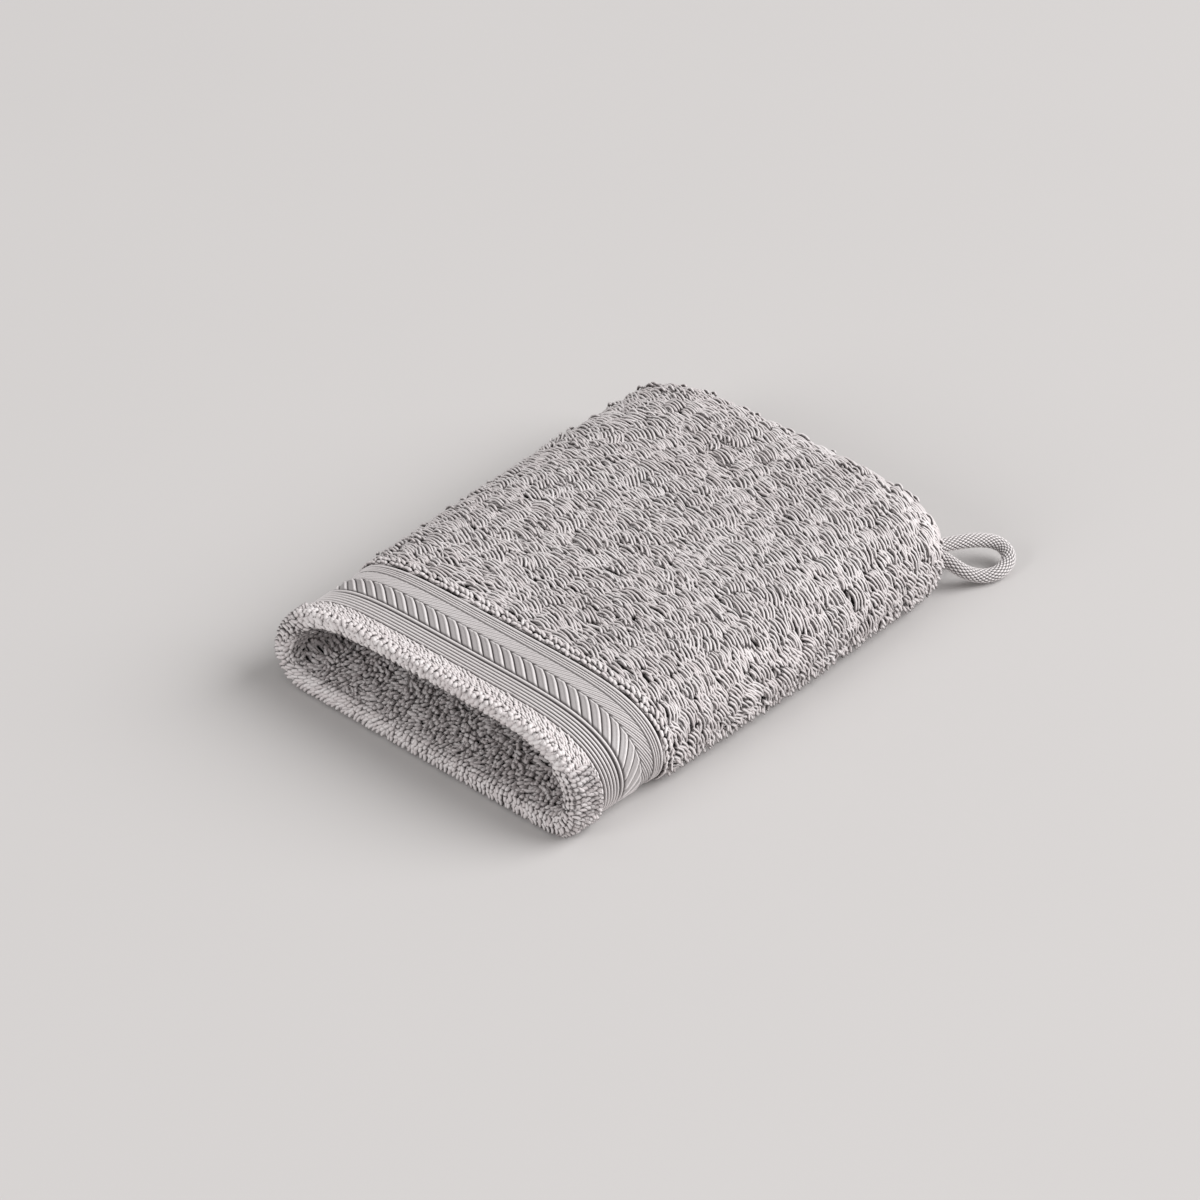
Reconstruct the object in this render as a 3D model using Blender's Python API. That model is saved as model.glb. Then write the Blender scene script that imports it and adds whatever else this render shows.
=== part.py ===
"""Wash mitt of terry towelling, lying flat with its mouth a little open.

The mitt lies along Y: its mouth faces -Y and its closed end faces +Y. X is across
the hand and Z is up, and Z = 0 is the surface that the mitt lies on. The origin is
the middle of the underside. Three pieces are made: the terry bag, the woven border
band that runs round its cuff, and the braided cord loop at one closed corner.
"""

import math

import bmesh
import bpy
import numpy as np

MM = 0.001

# Driving sizes, in metres. The pile counts in all of them.
LENGTH = 210.0 * MM
CLOTH_THICKNESS = 8.0 * MM  # ground cloth with the pile of both faces
SIDE_LEVEL = 14.4 * MM  # height at which the mitt is widest
UNDERSIDE_CORNER = 12.0 * MM  # how far in from each side the underside lies flat
CROWN_ROUNDNESS = 2.0  # exponent of the top's fall towards the sides, measured upwards
SEAM_HEIGHT = 4.0 * MM  # where the two layers meet along the closed end

# The closed end, seen from above and from the side
END_ROUNDING = 26.5 * MM
END_CORNER_RADIUS = 25.9 * MM
RIGHT_CORNER_SQUARENESS = 2.0  # exponent of a corner's curve: 2 makes a quarter circle
LEFT_CORNER_SQUARENESS = 3.3  # and a higher one a squarer corner
END_FULLNESS = 2.8

# The cuff, as distances from the mouth's edge
UPPER_LIP_SETBACK = 4.0 * MM  # how far the upper lip's middle stands back from the lower
LIP_LIFT_CURVE = 0.7  # under 1 carries that setback further down the mouth's sides
RIM_END = 12.6 * MM
BAND_START = 13.7 * MM
BAND_END = 43.9 * MM
PILE_START = 45.1 * MM
STEP_WIDTH = 0.7 * MM

# The band's two faces and the groove under it, as depths below the pile's tips
BAND_OUTER_DEPTH = 0.9 * MM
BAND_INNER_DEPTH = 2.5 * MM
GROOVE_DEPTH = 2.8 * MM

# Hanging loop
CORD_DIAMETER = 5.5 * MM
CORD_STEP = 2.8 * MM
CORD_SIDES_RESOLUTION = 3

# Facets
POINTS_AROUND = 64
LIP_STEPS = 6
END_STEPS = 7

# The mitt's width and height along its length. "square" is the exponent of the top's
# fall measured sideways: a higher one keeps the top level nearer to its sides.
SECTIONS = (
    {"from_mouth": 0.0, "half_width": 0.0724, "height": 0.0370, "square": 4.7},
    {"from_mouth": 0.021, "half_width": 0.0735, "height": 0.0368, "square": 4.8},
    {"from_mouth": 0.045, "half_width": 0.0747, "height": 0.0368, "square": 4.9},
    {"from_mouth": 0.075, "half_width": 0.0758, "height": 0.0373, "square": 4.8},
    {"from_mouth": 0.110, "half_width": 0.0768, "height": 0.0369, "square": 4.7},
    {"from_mouth": 0.145, "half_width": 0.0770, "height": 0.0374, "square": 5.0},
    {"from_mouth": 0.180, "half_width": 0.0768, "height": 0.0370, "square": 4.8},
    {"from_mouth": 0.210, "half_width": 0.0765, "height": 0.0366, "square": 4.8},
)

# Centreline of the loop, by hand, in millimetres from the closed corner: how far out of
# the corner, how far across it to the left, and the height. One end leaves the seam,
# sags to the surface and comes round, a little raised, to the seam beside itself.
LOOP_CORNER = (69.9 * MM, 96.2 * MM)
LOOP_HEADING = math.radians(42.0)
LOOP_ROUTE = (
    (1.8, 0.2, 10.3),
    (4.3, -1.0, 9.1),
    (8.2, -1.4, 6.6),
    (12.3, -0.4, 4.4),
    (16.3, 0.9, 3.3),
    (20.2, 2.9, 3.2),
    (23.1, 6.1, 3.4),
    (24.8, 9.8, 4.1),
    (24.5, 12.9, 5.2),
    (22.7, 14.8, 6.6),
    (19.9, 15.2, 8.1),
    (16.9, 14.4, 9.4),
    (12.8, 12.3, 11.0),
    (8.6, 9.8, 12.4),
    (4.6, 7.4, 13.4),
    (2.0, 5.8, 14.0),
)

# Colour, roughness and metallic value of each piece's material
FINISHES = {
    "terry_bag": {"colour": (0.58, 0.55, 0.54), "roughness": 0.95, "metallic": 0.0},
    "border_band": {"colour": (0.62, 0.59, 0.58), "roughness": 0.85, "metallic": 0.0},
    "hanging_loop": {"colour": (0.60, 0.57, 0.56), "roughness": 0.80, "metallic": 0.0},
}


def remove_all_objects():
    for old in list(bpy.data.objects):
        bpy.data.objects.remove(old, do_unlink=True)


def finish_of(name):
    """Material named after its piece."""
    finish = FINISHES[name]
    material = bpy.data.materials.new(name)
    material.use_nodes = True
    shader = material.node_tree.nodes["Principled BSDF"]
    shader.inputs["Base Color"].default_value = (*finish["colour"], 1.0)
    shader.inputs["Roughness"].default_value = finish["roughness"]
    shader.inputs["Metallic"].default_value = finish["metallic"]
    return material


def smooth_through(places, values, place):
    """Value at a place on a smooth curve through the values given at the places."""
    slopes = np.gradient(values, places)
    i = int(np.clip(np.searchsorted(places, place) - 1, 0, len(places) - 2))
    span = places[i + 1] - places[i]
    t = (place - places[i]) / span
    start = (2 * t**3 - 3 * t**2 + 1) * values[i] + (t**3 - 2 * t**2 + t) * span * slopes[i]
    end = (3 * t**2 - 2 * t**3) * values[i + 1] + (t**3 - t**2) * span * slopes[i + 1]
    return float(start + end)


def section_value(column, from_mouth):
    places = [row["from_mouth"] for row in SECTIONS]
    values = [row[column] for row in SECTIONS]
    return smooth_through(places, values, from_mouth)


def half_outline(half_width, low, high, corner, square):
    """Even points up one side of a cross-section, from the underside's middle to the top's."""
    turn = np.linspace(0.0, math.pi / 2, 40)
    lower_x = half_width - corner + corner * np.sin(turn)
    lower_z = SIDE_LEVEL - (SIDE_LEVEL - low) * np.cos(turn)
    upper_x = half_width * np.cos(turn) ** (2 / square)
    upper_z = SIDE_LEVEL + (high - SIDE_LEVEL) * np.sin(turn) ** (2 / CROWN_ROUNDNESS)
    upper_x[-1] = 0.0
    half_x = np.concatenate([[0.0], lower_x, upper_x[1:]])
    half_z = np.concatenate([[low], lower_z, upper_z[1:]])
    run = np.concatenate([[0.0], np.cumsum(np.hypot(np.diff(half_x), np.diff(half_z)))])
    even = np.linspace(0.0, run[-1], POINTS_AROUND // 2 + 1)
    return list(zip(np.interp(even, run, half_x), np.interp(even, run, half_z)))


def corner_inset(into_end, depth, squareness):
    """How far a closed corner's curve draws a side in, part of the way along the end."""
    return (END_CORNER_RADIUS - depth) * (1 - (1 - into_end**squareness) ** (1 / squareness))


def ring(from_mouth, depth):
    """Points round the mitt at a distance from the mouth, a depth below the pile's tips."""
    half_width = section_value("half_width", from_mouth) - depth
    high = section_value("height", from_mouth) - depth
    low = depth
    right, left = half_width, half_width
    into_end = (from_mouth - (LENGTH - END_ROUNDING)) / (END_ROUNDING - depth)
    if into_end > 0:
        into_end = min(into_end, 1.0)
        fullness = (1 - into_end**END_FULLNESS) ** (1 / END_FULLNESS)
        right -= corner_inset(into_end, depth, RIGHT_CORNER_SQUARENESS)
        left -= corner_inset(into_end, depth, LEFT_CORNER_SQUARENESS)
        low = min(SIDE_LEVEL - (SIDE_LEVEL - low) * fullness, SIDE_LEVEL - SEAM_HEIGHT / 2)
        high = max(SIDE_LEVEL + (high - SIDE_LEVEL) * fullness, SIDE_LEVEL + SEAM_HEIGHT / 2)
    corner = UNDERSIDE_CORNER - depth / 2
    square = section_value("square", from_mouth)
    points = half_outline(right, low, high, corner, square)
    mirrored = half_outline(left, low, high, corner, square)
    points += [(-x, z) for x, z in mirrored[-2:0:-1]]
    setback = UPPER_LIP_SETBACK * max(0.0, 1 - from_mouth / RIM_END)
    placed = []
    for x, z in points:
        lift = max(0.0, (z - SIDE_LEVEL) / (high - SIDE_LEVEL)) ** LIP_LIFT_CURVE
        placed.append((x, from_mouth + setback * lift - LENGTH / 2, z))
    return placed


def end_distances(depth):
    """Distances from the mouth for the rings of the rounded end, closest at its tip."""
    reach = END_ROUNDING - depth
    turns = [math.pi / 2 * i / END_STEPS for i in range(1, END_STEPS + 1)]
    return [LENGTH - END_ROUNDING + reach * math.sin(turn) for turn in turns]


def bag_profile():
    """Distance and depth of each ring of the bag, from the closed end's outside, along
    the outer face to the mouth, round the rolled lip and back inside."""
    outer_body = [0.170, 0.155, 0.140, 0.125, 0.110, 0.095, 0.080, 0.065, 0.052]
    outer = [(d, 0.0) for d in reversed(end_distances(0.0))]
    outer += [(LENGTH - END_ROUNDING, 0.0)]
    outer += [(d, 0.0) for d in outer_body]
    groove = [
        (PILE_START, 0.0),
        (PILE_START - STEP_WIDTH, GROOVE_DEPTH),
        (0.034, GROOVE_DEPTH),
        (0.023, GROOVE_DEPTH),
        (RIM_END + STEP_WIDTH, GROOVE_DEPTH),
        (RIM_END, 0.0),
        (0.008, 0.0),
    ]
    lip_radius = CLOTH_THICKNESS / 2
    lip = []
    for i in range(LIP_STEPS + 1):
        turn = math.pi * i / LIP_STEPS
        reach = lip_radius * (1 - math.sin(turn))
        lip.append((reach, lip_radius * (1 - math.cos(turn))))
    inner_body = [0.012, 0.024, 0.040, 0.060, 0.085, 0.110, 0.135, 0.160]
    inner = [(d, CLOTH_THICKNESS) for d in inner_body]
    inner += [(LENGTH - END_ROUNDING, CLOTH_THICKNESS)]
    inner += [(d, CLOTH_THICKNESS) for d in end_distances(CLOTH_THICKNESS)]
    return outer + groove + lip + inner


def band_profile():
    """Distance and depth of each ring of the border band, once round its thickness."""
    along = [BAND_START, 0.023, 0.034, BAND_END]
    outer = [(d, BAND_OUTER_DEPTH) for d in along]
    inner = [(d, BAND_INNER_DEPTH) for d in reversed(along)]
    return outer + inner


def skin(name, profile, closed):
    """Solid made by joining the rings of a profile. A closed profile joins its last ring
    to its first, and an open one is capped at both ends."""
    bm = bmesh.new()
    rings = [[bm.verts.new(p) for p in ring(*step)] for step in profile]
    pairs = list(zip(rings, rings[1:]))
    if closed:
        pairs.append((rings[-1], rings[0]))
    else:
        bm.faces.new(rings[0])
        bm.faces.new(rings[-1])
    for near, far in pairs:
        for i in range(POINTS_AROUND):
            j = (i + 1) % POINTS_AROUND
            bm.faces.new((near[i], near[j], far[j], far[i]))
    bmesh.ops.recalc_face_normals(bm, faces=bm.faces)
    mesh = bpy.data.meshes.new(name)
    bm.to_mesh(mesh)
    bm.free()
    mesh.shade_smooth()
    mesh.set_sharp_from_angle(angle=math.radians(40))
    piece = bpy.data.objects.new(name, mesh)
    bpy.context.scene.collection.objects.link(piece)
    piece.data.materials.append(finish_of(name))
    return piece


def loop_places():
    """The loop's hand-set points, placed at the closed corner."""
    out_x, out_y = math.cos(LOOP_HEADING), math.sin(LOOP_HEADING)
    places = []
    for out, across, height in LOOP_ROUTE:
        x = LOOP_CORNER[0] + (out * out_x - across * out_y) * MM
        y = LOOP_CORNER[1] + (out * out_y + across * out_x) * MM
        places.append((x, y, height * MM))
    return places


def smooth_route(points, step):
    """Points a step apart on a smooth curve through the given ones."""
    points = np.array(points)
    run = np.concatenate([[0.0], np.cumsum(np.linalg.norm(np.diff(points, axis=0), axis=1))])
    count = round(run[-1] / step)
    even = np.linspace(0.0, run[-1], count + 1)
    return [[smooth_through(run, points[:, axis], at) for axis in range(3)] for at in even]


def hanging_loop():
    """Round cord bent into a teardrop, both ends at the seam of the closed corner."""
    curve = bpy.data.curves.new("hanging_loop", "CURVE")
    curve.dimensions = "3D"
    curve.bevel_depth = CORD_DIAMETER / 2
    curve.bevel_resolution = CORD_SIDES_RESOLUTION
    curve.use_fill_caps = True
    route = smooth_route(loop_places(), CORD_STEP)
    spline = curve.splines.new("POLY")
    spline.points.add(len(route) - 1)
    for point, place in zip(spline.points, route):
        point.co = (*place, 1.0)
    spline.use_smooth = True
    piece = bpy.data.objects.new("hanging_loop", curve)
    bpy.context.scene.collection.objects.link(piece)
    piece.data.materials.append(finish_of("hanging_loop"))
    return piece


def main():
    remove_all_objects()
    skin("terry_bag", bag_profile(), closed=False)
    skin("border_band", band_profile(), closed=True)
    hanging_loop()


main()
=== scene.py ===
"""The looks of a terry wash mitt that lies flat with its mouth a little open.

The mitt lies along Y, its mouth towards -Y and its closed end towards +Y, on the surface
at Z = 0. Every part of it is built on one surface, the envelope: where the tips of the
pile end. The envelope is a sheet of points that starts at the seam of the closed end, runs
over the outside to the mouth, rolls round the lip and goes back inside the pocket. A place
on it has two numbers: run, the distance from the mouth's edge in metres, counted up on the
outside and down in the pocket, and turn, the share of the way round the mitt from the
middle of its underside, first up the right side. A third, sink, says how far below the
tips a thing lies.
"""

import math

import bpy
import numpy as np
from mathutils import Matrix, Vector


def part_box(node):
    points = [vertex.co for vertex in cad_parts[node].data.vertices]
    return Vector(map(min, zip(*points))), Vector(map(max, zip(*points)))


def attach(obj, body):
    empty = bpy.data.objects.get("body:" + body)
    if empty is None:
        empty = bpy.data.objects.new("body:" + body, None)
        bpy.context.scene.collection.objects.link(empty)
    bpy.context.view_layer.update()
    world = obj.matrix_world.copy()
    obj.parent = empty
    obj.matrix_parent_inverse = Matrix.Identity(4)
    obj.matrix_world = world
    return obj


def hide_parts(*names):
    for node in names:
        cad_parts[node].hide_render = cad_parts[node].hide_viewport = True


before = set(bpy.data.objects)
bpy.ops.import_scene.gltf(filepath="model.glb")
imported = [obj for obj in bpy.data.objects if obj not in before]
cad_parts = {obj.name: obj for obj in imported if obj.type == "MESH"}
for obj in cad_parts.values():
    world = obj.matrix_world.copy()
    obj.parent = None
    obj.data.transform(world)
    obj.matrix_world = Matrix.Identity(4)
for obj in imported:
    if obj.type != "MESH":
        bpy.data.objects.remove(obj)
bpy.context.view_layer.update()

MM = 0.001

# ---------------------------------------------------------------- sizes of the mitt

bag_low, bag_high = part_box("terry_bag")
LENGTH = bag_high.y - bag_low.y
MOUTH_Y = bag_low.y
CLOTH_THICKNESS = 8.0 * MM  # ground cloth with the pile of both faces
SIDE_LEVEL = 14.4 * MM  # height at which the mitt is widest
UNDERSIDE_CORNER = 12.0 * MM
SEAM_HEIGHT = 4.0 * MM
END_ROUNDING = 26.5 * MM
END_CORNER_RADIUS = 25.9 * MM
CORNER_SQUARENESS = (2.0, 3.3)  # of the right corner and the left
END_FULLNESS = 2.8
UPPER_LIP_SETBACK = 4.0 * MM
LIP_LIFT_CURVE = 0.7
RIM_END = 12.6 * MM
BAND_START = 13.7 * MM
BAND_END = 43.9 * MM
PILE_START = 45.1 * MM

# The mitt's width and height along its length, as in its solid
SECTIONS = (
    {"from_mouth": 0.0, "half_width": 0.0724, "height": 0.0370, "square": 4.7},
    {"from_mouth": 0.021, "half_width": 0.0735, "height": 0.0368, "square": 4.8},
    {"from_mouth": 0.045, "half_width": 0.0747, "height": 0.0368, "square": 4.9},
    {"from_mouth": 0.075, "half_width": 0.0758, "height": 0.0373, "square": 4.8},
    {"from_mouth": 0.110, "half_width": 0.0768, "height": 0.0369, "square": 4.7},
    {"from_mouth": 0.145, "half_width": 0.0770, "height": 0.0374, "square": 5.0},
    {"from_mouth": 0.180, "half_width": 0.0768, "height": 0.0370, "square": 4.8},
    {"from_mouth": 0.210, "half_width": 0.0765, "height": 0.0366, "square": 4.8},
)

# Centreline of the loop, in millimetres from the closed corner: how far out of the
# corner, how far across it to the left, and the height. It is the route of its solid.
LOOP_CORNER = (69.9 * MM, 96.2 * MM)
LOOP_HEADING = math.radians(42.0)
LOOP_ROUTE = (
    (1.8, 0.2, 10.3),
    (4.3, -1.0, 9.1),
    (8.2, -1.4, 6.6),
    (12.3, -0.4, 4.4),
    (16.3, 0.9, 3.3),
    (20.2, 2.9, 3.2),
    (23.1, 6.1, 3.4),
    (24.8, 9.8, 4.1),
    (24.5, 12.9, 5.2),
    (22.7, 14.8, 6.6),
    (19.9, 15.2, 8.1),
    (16.9, 14.4, 9.4),
    (12.8, 12.3, 11.0),
    (8.6, 9.8, 12.4),
    (4.6, 7.4, 13.4),
    (2.0, 5.8, 14.0),
)
CORD_DIAMETER = 5.5 * MM
CORD_TUCK = 6.0 * MM  # how much of each end is sewn in behind the pile

# Cloth and yarn
GROUND_OUTER = 3.4 * MM  # depth of the ground cloth's two faces below the outer tips
GROUND_INNER = 4.6 * MM
YARN = 1.28 * MM  # thickness of a pile yarn
GIRTH = 0.335  # way round the mitt at its cuff
FLOOR_CLEARANCE = 0.05 * MM

# ---------------------------------------------------------------- camera

CAMERA_AZIMUTH = math.radians(41.83)
CAMERA_ELEVATION = math.radians(36.58)
CAMERA_DISTANCE = 1.600
CAMERA_TARGET = Vector((0.0, 0.0, 0.010))
CAMERA_LENS = 133.74
CAMERA_SHIFT = (-0.01924, 0.00286)


def place_camera():
    camera = bpy.data.objects.new("camera", bpy.data.cameras.new("camera"))
    camera.data.sensor_width = 36.0
    camera.data.lens = CAMERA_LENS
    camera.data.shift_x, camera.data.shift_y = CAMERA_SHIFT
    back = Vector((
        math.sin(CAMERA_AZIMUTH) * math.cos(CAMERA_ELEVATION),
        -math.cos(CAMERA_AZIMUTH) * math.cos(CAMERA_ELEVATION),
        math.sin(CAMERA_ELEVATION),
    ))
    camera.location = CAMERA_TARGET + back * CAMERA_DISTANCE
    camera.rotation_euler = (-back).to_track_quat("-Z", "Y").to_euler()
    bpy.context.scene.collection.objects.link(camera)
    bpy.context.scene.camera = camera


# ---------------------------------------------------------------- curves and meshes


def smooth_through(places, values, at):
    """Values on a smooth curve through the given ones."""
    places, values, at = (np.asarray(part, float) for part in (places, values, at))
    slopes = np.gradient(values, places)
    i = np.clip(np.searchsorted(places, at) - 1, 0, len(places) - 2)
    span = places[i + 1] - places[i]
    t = (at - places[i]) / span
    start = (2 * t**3 - 3 * t**2 + 1) * values[i] + (t**3 - 2 * t**2 + t) * span * slopes[i]
    end = (3 * t**2 - 2 * t**3) * values[i + 1] + (t**3 - t**2) * span * slopes[i + 1]
    return start + end


def ease(edge0, edge1, value):
    t = np.clip((value - edge0) / (edge1 - edge0), 0.0, 1.0)
    return t * t * (3 - 2 * t)


def unit(vectors):
    length = np.linalg.norm(vectors, axis=-1, keepdims=True)
    return vectors / np.maximum(length, 1e-12)


def piece_from(name, points, faces, material, **attributes):
    """Object made from points and lists of faces, each list with one number of corners.
    Attributes are numbers for the points that the material reads."""
    mesh = bpy.data.meshes.new(name)
    mesh.vertices.add(len(points))
    mesh.vertices.foreach_set("co", np.asarray(points, np.float32).ravel())
    corners = np.concatenate([part.ravel() for part in faces])
    sizes = np.concatenate([np.full(len(part), part.shape[1]) for part in faces])
    mesh.loops.add(len(corners))
    mesh.loops.foreach_set("vertex_index", corners.astype(np.int32))
    mesh.polygons.add(len(sizes))
    starts = np.concatenate([[0], np.cumsum(sizes)[:-1]])
    mesh.polygons.foreach_set("loop_start", starts.astype(np.int32))
    mesh.polygons.foreach_set("loop_total", sizes.astype(np.int32))
    mesh.update(calc_edges=True)
    mesh.validate()
    mesh.shade_smooth()
    for attribute, values in attributes.items():
        field = mesh.attributes.new(attribute, "FLOAT", "POINT")
        field.data.foreach_set("value", np.asarray(values, np.float32).ravel())
    mesh.materials.append(material)
    piece = bpy.data.objects.new(name, mesh)
    bpy.context.scene.collection.objects.link(piece)
    return piece


def wrapped_quads(rows, columns, first=0):
    """Quads of a grid whose last column joins its first."""
    i = np.arange(rows - 1)[:, None] * columns
    j = np.arange(columns)[None, :]
    k = (j + 1) % columns
    return first + np.stack([i + j, i + k, i + columns + k, i + columns + j], -1).reshape(-1, 4)


# ---------------------------------------------------------------- the envelope

LIP_RADIUS = CLOTH_THICKNESS / 2
LIP_ARC = LIP_RADIUS * math.pi / 2
BODY_END = LENGTH - END_ROUNDING
RUN_STEP = 0.5 * MM
TURN_STEPS = 720


def outside(from_mouth):
    """Run of a place on the outer face, from its distance to the mouth's edge."""
    return from_mouth - LIP_RADIUS + LIP_ARC


def profile(run):
    """Distance from the mouth, depth, share of the closed end's turn and of its seam."""
    side = np.abs(run)
    roll = np.pi / 2 - np.clip(side / LIP_RADIUS, 0, np.pi / 2)
    depth = LIP_RADIUS * (1 - np.cos(roll))
    depth = np.where(run >= 0, depth, CLOTH_THICKNESS - depth)
    flat = np.maximum(side - LIP_ARC, 0.0)
    past = np.maximum(flat - (BODY_END - LIP_RADIUS), 0.0)
    reach = END_ROUNDING - depth
    end_turn = np.clip(past / reach, 0.0, np.pi / 2)
    seam = np.clip((past - reach * np.pi / 2) / (SEAM_HEIGHT / 2), 0.0, 1.0)
    from_mouth = LIP_RADIUS * (1 - np.sin(roll)) + flat - past + reach * np.sin(end_turn)
    return from_mouth, depth, np.sin(end_turn), seam


def farthest_run(depth):
    return LIP_ARC + BODY_END - LIP_RADIUS + (END_ROUNDING - depth) * np.pi / 2 + SEAM_HEIGHT / 2


def half_outline(half_width, low, high, corner, square, count):
    """Even points up one side of a cross-section, and their reach from first to last."""
    quarter = np.linspace(0.0, math.pi / 2, 60)
    lower_x = half_width - corner + corner * np.sin(quarter)
    lower_z = SIDE_LEVEL - (SIDE_LEVEL - low) * np.cos(quarter)
    upper_x = half_width * np.maximum(np.cos(quarter), 0) ** (2 / square)
    upper_z = SIDE_LEVEL + (high - SIDE_LEVEL) * np.sin(quarter)
    half_x = np.concatenate([[0.0], lower_x, upper_x[1:-1], [0.0]])
    half_z = np.concatenate([[low], lower_z, upper_z[1:]])
    reach = np.concatenate([[0.0], np.cumsum(np.hypot(np.diff(half_x), np.diff(half_z)))])
    even = np.linspace(0.0, reach[-1], count // 2 + 1)
    return np.interp(even, reach, half_x), np.interp(even, reach, half_z), reach[-1]


def section_ring(from_mouth, depth, into_end, seam, count):
    """Even points round the mitt, and how far round they reach."""
    places = [row["from_mouth"] for row in SECTIONS]
    half_width, height, square = (
        float(smooth_through(places, [row[name] for row in SECTIONS], from_mouth))
        for name in ("half_width", "height", "square")
    )
    high, low, insets = height - depth, depth, (0.0, 0.0)
    if into_end > 0:
        fullness = (1 - into_end**END_FULLNESS) ** (1 / END_FULLNESS)
        insets = [
            (END_CORNER_RADIUS - depth) * (1 - (1 - into_end**power) ** (1 / power))
            for power in CORNER_SQUARENESS
        ]
        rest = SEAM_HEIGHT / 2 * (1 - seam)
        low = min(SIDE_LEVEL - (SIDE_LEVEL - low) * fullness, SIDE_LEVEL - rest)
        high = max(SIDE_LEVEL + (high - SIDE_LEVEL) * fullness, SIDE_LEVEL + rest)
    (right_x, right_z, right_reach), (left_x, left_z, left_reach) = (
        half_outline(
            half_width - depth - inset, low, high, UNDERSIDE_CORNER - depth / 2, square, count)
        for inset in insets
    )
    xs = np.concatenate([right_x, -left_x[-2:0:-1]])
    zs = np.concatenate([right_z, left_z[-2:0:-1]])
    setback = UPPER_LIP_SETBACK * max(0.0, 1 - from_mouth / RIM_END)
    lift = np.clip((zs - SIDE_LEVEL) / max(high - SIDE_LEVEL, 1e-6), 0, 1) ** LIP_LIFT_CURVE
    ys = MOUTH_Y + from_mouth + setback * lift
    return np.stack([xs, ys, zs], -1), right_reach + left_reach


class Envelope:
    """The surface of the pile's tips as a grid, read between its points."""

    def __init__(self):
        self.lowest = -farthest_run(CLOTH_THICKNESS)
        highest = farthest_run(0.0)
        self.rows = int((highest - self.lowest) / RUN_STEP) + 1
        runs = self.lowest + np.arange(self.rows) * RUN_STEP
        rings, girths = [], []
        for from_mouth, depth, into_end, seam in zip(*profile(runs)):
            points, girth = section_ring(from_mouth, depth, into_end, seam, TURN_STEPS)
            rings.append(points)
            girths.append(girth)
        self.points = np.array(rings)
        self.girths = np.array(girths)
        along = np.gradient(self.points, axis=0)
        around = np.roll(self.points, -1, 1) - np.roll(self.points, 1, 1)
        self.normals = unit(np.cross(along, around))

    def read(self, grid, run, turn):
        row = np.clip((run - self.lowest) / RUN_STEP, 0, self.rows - 1.001)
        column = (turn % 1.0) * TURN_STEPS
        i, j = row.astype(int), column.astype(int) % TURN_STEPS
        k = (j + 1) % TURN_STEPS
        u, v = (row - i)[..., None], (column - np.floor(column))[..., None]
        near = grid[i, j] * (1 - v) + grid[i, k] * v
        far = grid[i + 1, j] * (1 - v) + grid[i + 1, k] * v
        return near * (1 - u) + far * u

    def girth(self, run):
        runs = self.lowest + np.arange(self.rows) * RUN_STEP
        return np.interp(run, runs, self.girths)

    def place(self, run, turn, sink):
        """Points and outward directions at places on the mitt."""
        normals = unit(self.read(self.normals, run, turn))
        points = self.read(self.points, run, turn)
        return points - normals * np.asarray(sink)[..., None], normals


envelope = Envelope()


DRIFT_WAVES = 6
DRIFT_SWING = 2.6  # the most that so many waves often add up to


def drift(run, turn, wavelength, seed):
    """Smooth unevenness between about -1 and 1 over the mitt, the same each time."""
    random = np.random.default_rng(seed)
    along, around = run, turn * GIRTH
    total = np.zeros_like(np.asarray(run, float))
    for _ in range(DRIFT_WAVES):
        angle, phase = random.uniform(0, 2 * np.pi, 2)
        wave = 2 * np.pi / (wavelength * random.uniform(0.7, 1.5))
        total += np.sin(wave * (along * np.cos(angle) + around * np.sin(angle)) + phase)
    return total / DRIFT_SWING


# ---------------------------------------------------------------- strands of yarn


def rows_of_places(run_from, run_to, row_gap, gap, random, turn_from=0.0, turn_to=1.0,
                   stray=0.4):
    """Places in staggered rows round the mitt, each moved a little at random."""
    count = max(1, round((run_to - run_from) / row_gap))
    runs, turns = [], []
    for row in range(count):
        run = run_from + (row + 0.5) * (run_to - run_from) / count
        share = turn_to - turn_from
        number = max(1, round(share * envelope.girth(run) / gap))
        steps = np.arange(number) + 0.5 * (row % 2) + random.uniform(-stray, stray, number)
        turns.append(turn_from + share * (steps + 0.25) / number)
        runs.append(run + random.uniform(-stray, stray, number) * row_gap)
    return np.concatenate(runs), np.concatenate(turns)


# The form of a strand: how thick it is at shares of its length
LONG_STRAND = ((0.0, 0.5), (0.16, 1.0), (0.38, 1.0), (0.62, 1.0), (0.86, 0.95), (1.0, 0.5))
DEEP_STRAND = ((0.0, 0.8), (0.35, 1.0), (0.7, 1.0), (1.0, 0.8))
FLAT_STRAND = ((0.0, 0.6), (0.25, 1.0), (0.5, 1.0), (0.75, 1.0), (1.0, 0.6))
ROUND_LOOP = ((0.0, 0.6), (0.25, 0.95), (0.55, 1.05), (0.8, 1.0), (0.94, 0.75), (1.0, 0.35))
BEAD = ((0.0, 0.35), (0.07, 0.75), (0.25, 1.0), (0.75, 1.0), (0.93, 0.75), (1.0, 0.35))

RISE_SHARE = 0.4  # share of a strand in which it comes up to its crest
FALL_SHARE = 0.5  # and in which it goes down to its tip
PAINTED_SHADE_WIDTH = 0.9  # a strand thinner than this gets painted shade at its ends, where it dips under its neighbours


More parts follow.
